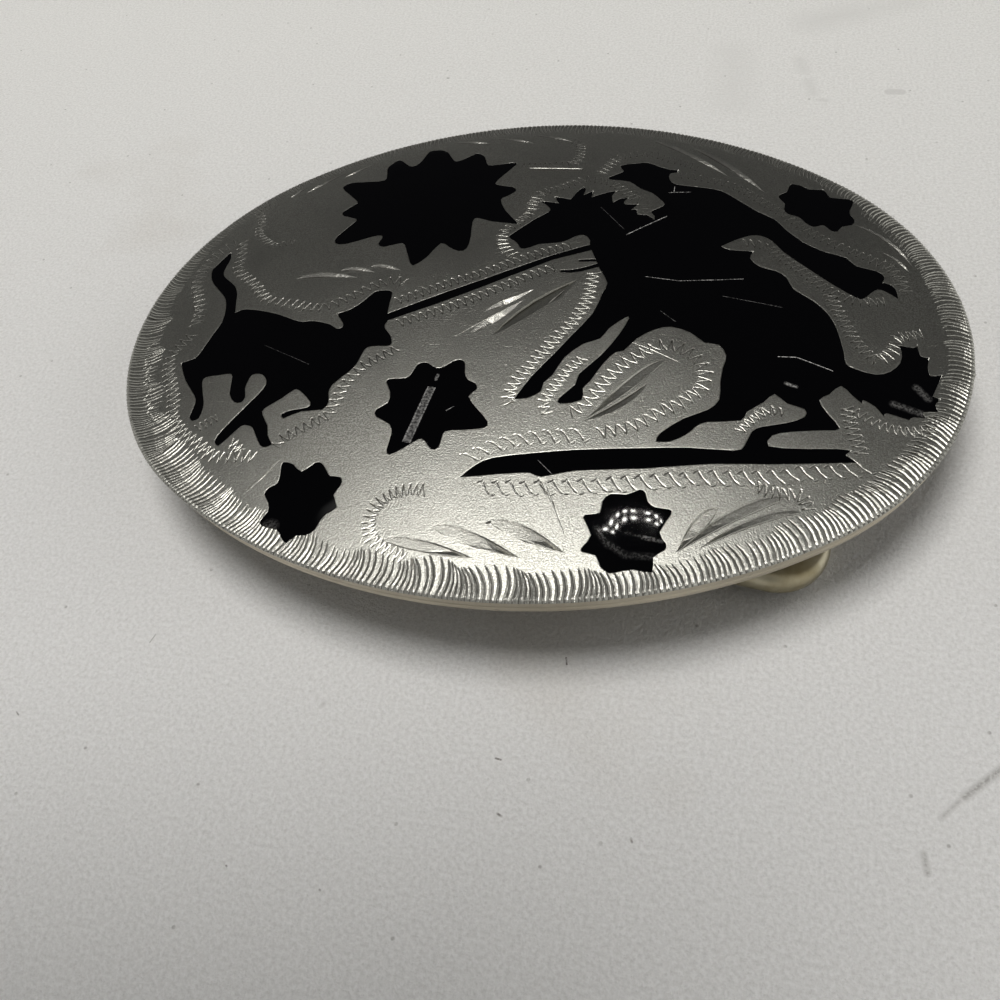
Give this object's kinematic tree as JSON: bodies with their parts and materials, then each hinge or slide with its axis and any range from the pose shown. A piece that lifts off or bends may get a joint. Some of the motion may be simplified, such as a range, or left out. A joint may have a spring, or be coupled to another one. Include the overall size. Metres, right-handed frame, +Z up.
{
  "type": "western belt buckle",
  "caption": "Domed oval belt buckle of nickel silver with a calf-roping silhouette and flowers inlaid in black resin, a hinged belt bail and a belt post on the back.",
  "frame": {"origin": "on the table under the middle of the oval plate, at the height of the post's tip and the bail's outer bar", "axes": "+X along the oval's length towards the bail's end, +Y across it towards the top of the picture, +Z up through the decorated face"},
  "size_m": [0.089, 0.0712, 0.0128],
  "materials": {
    "plate": "satin nickel silver, engraved and worn",
    "bail": "tarnished",
    "inlay": "gloss black resin"
  },
  "bodies": {
    "buckle": {"plate": "plate", "roping_inlay": "inlay", "flower_inlay_1": "inlay", "flower_inlay_2": "inlay", "flower_inlay_3": "inlay", "flower_inlay_4": "inlay", "flower_inlay_5": "inlay"},
    "bail": {"bail": "bail"}
  },
  "joints": [
    {"name": "bail_hinge", "type": "hinge", "parent": "buckle", "child": "bail", "pos_m": [0.011, 0, 0.0065], "axis": [0, 1, 0], "range_deg": [-11, 165]}
  ]
}
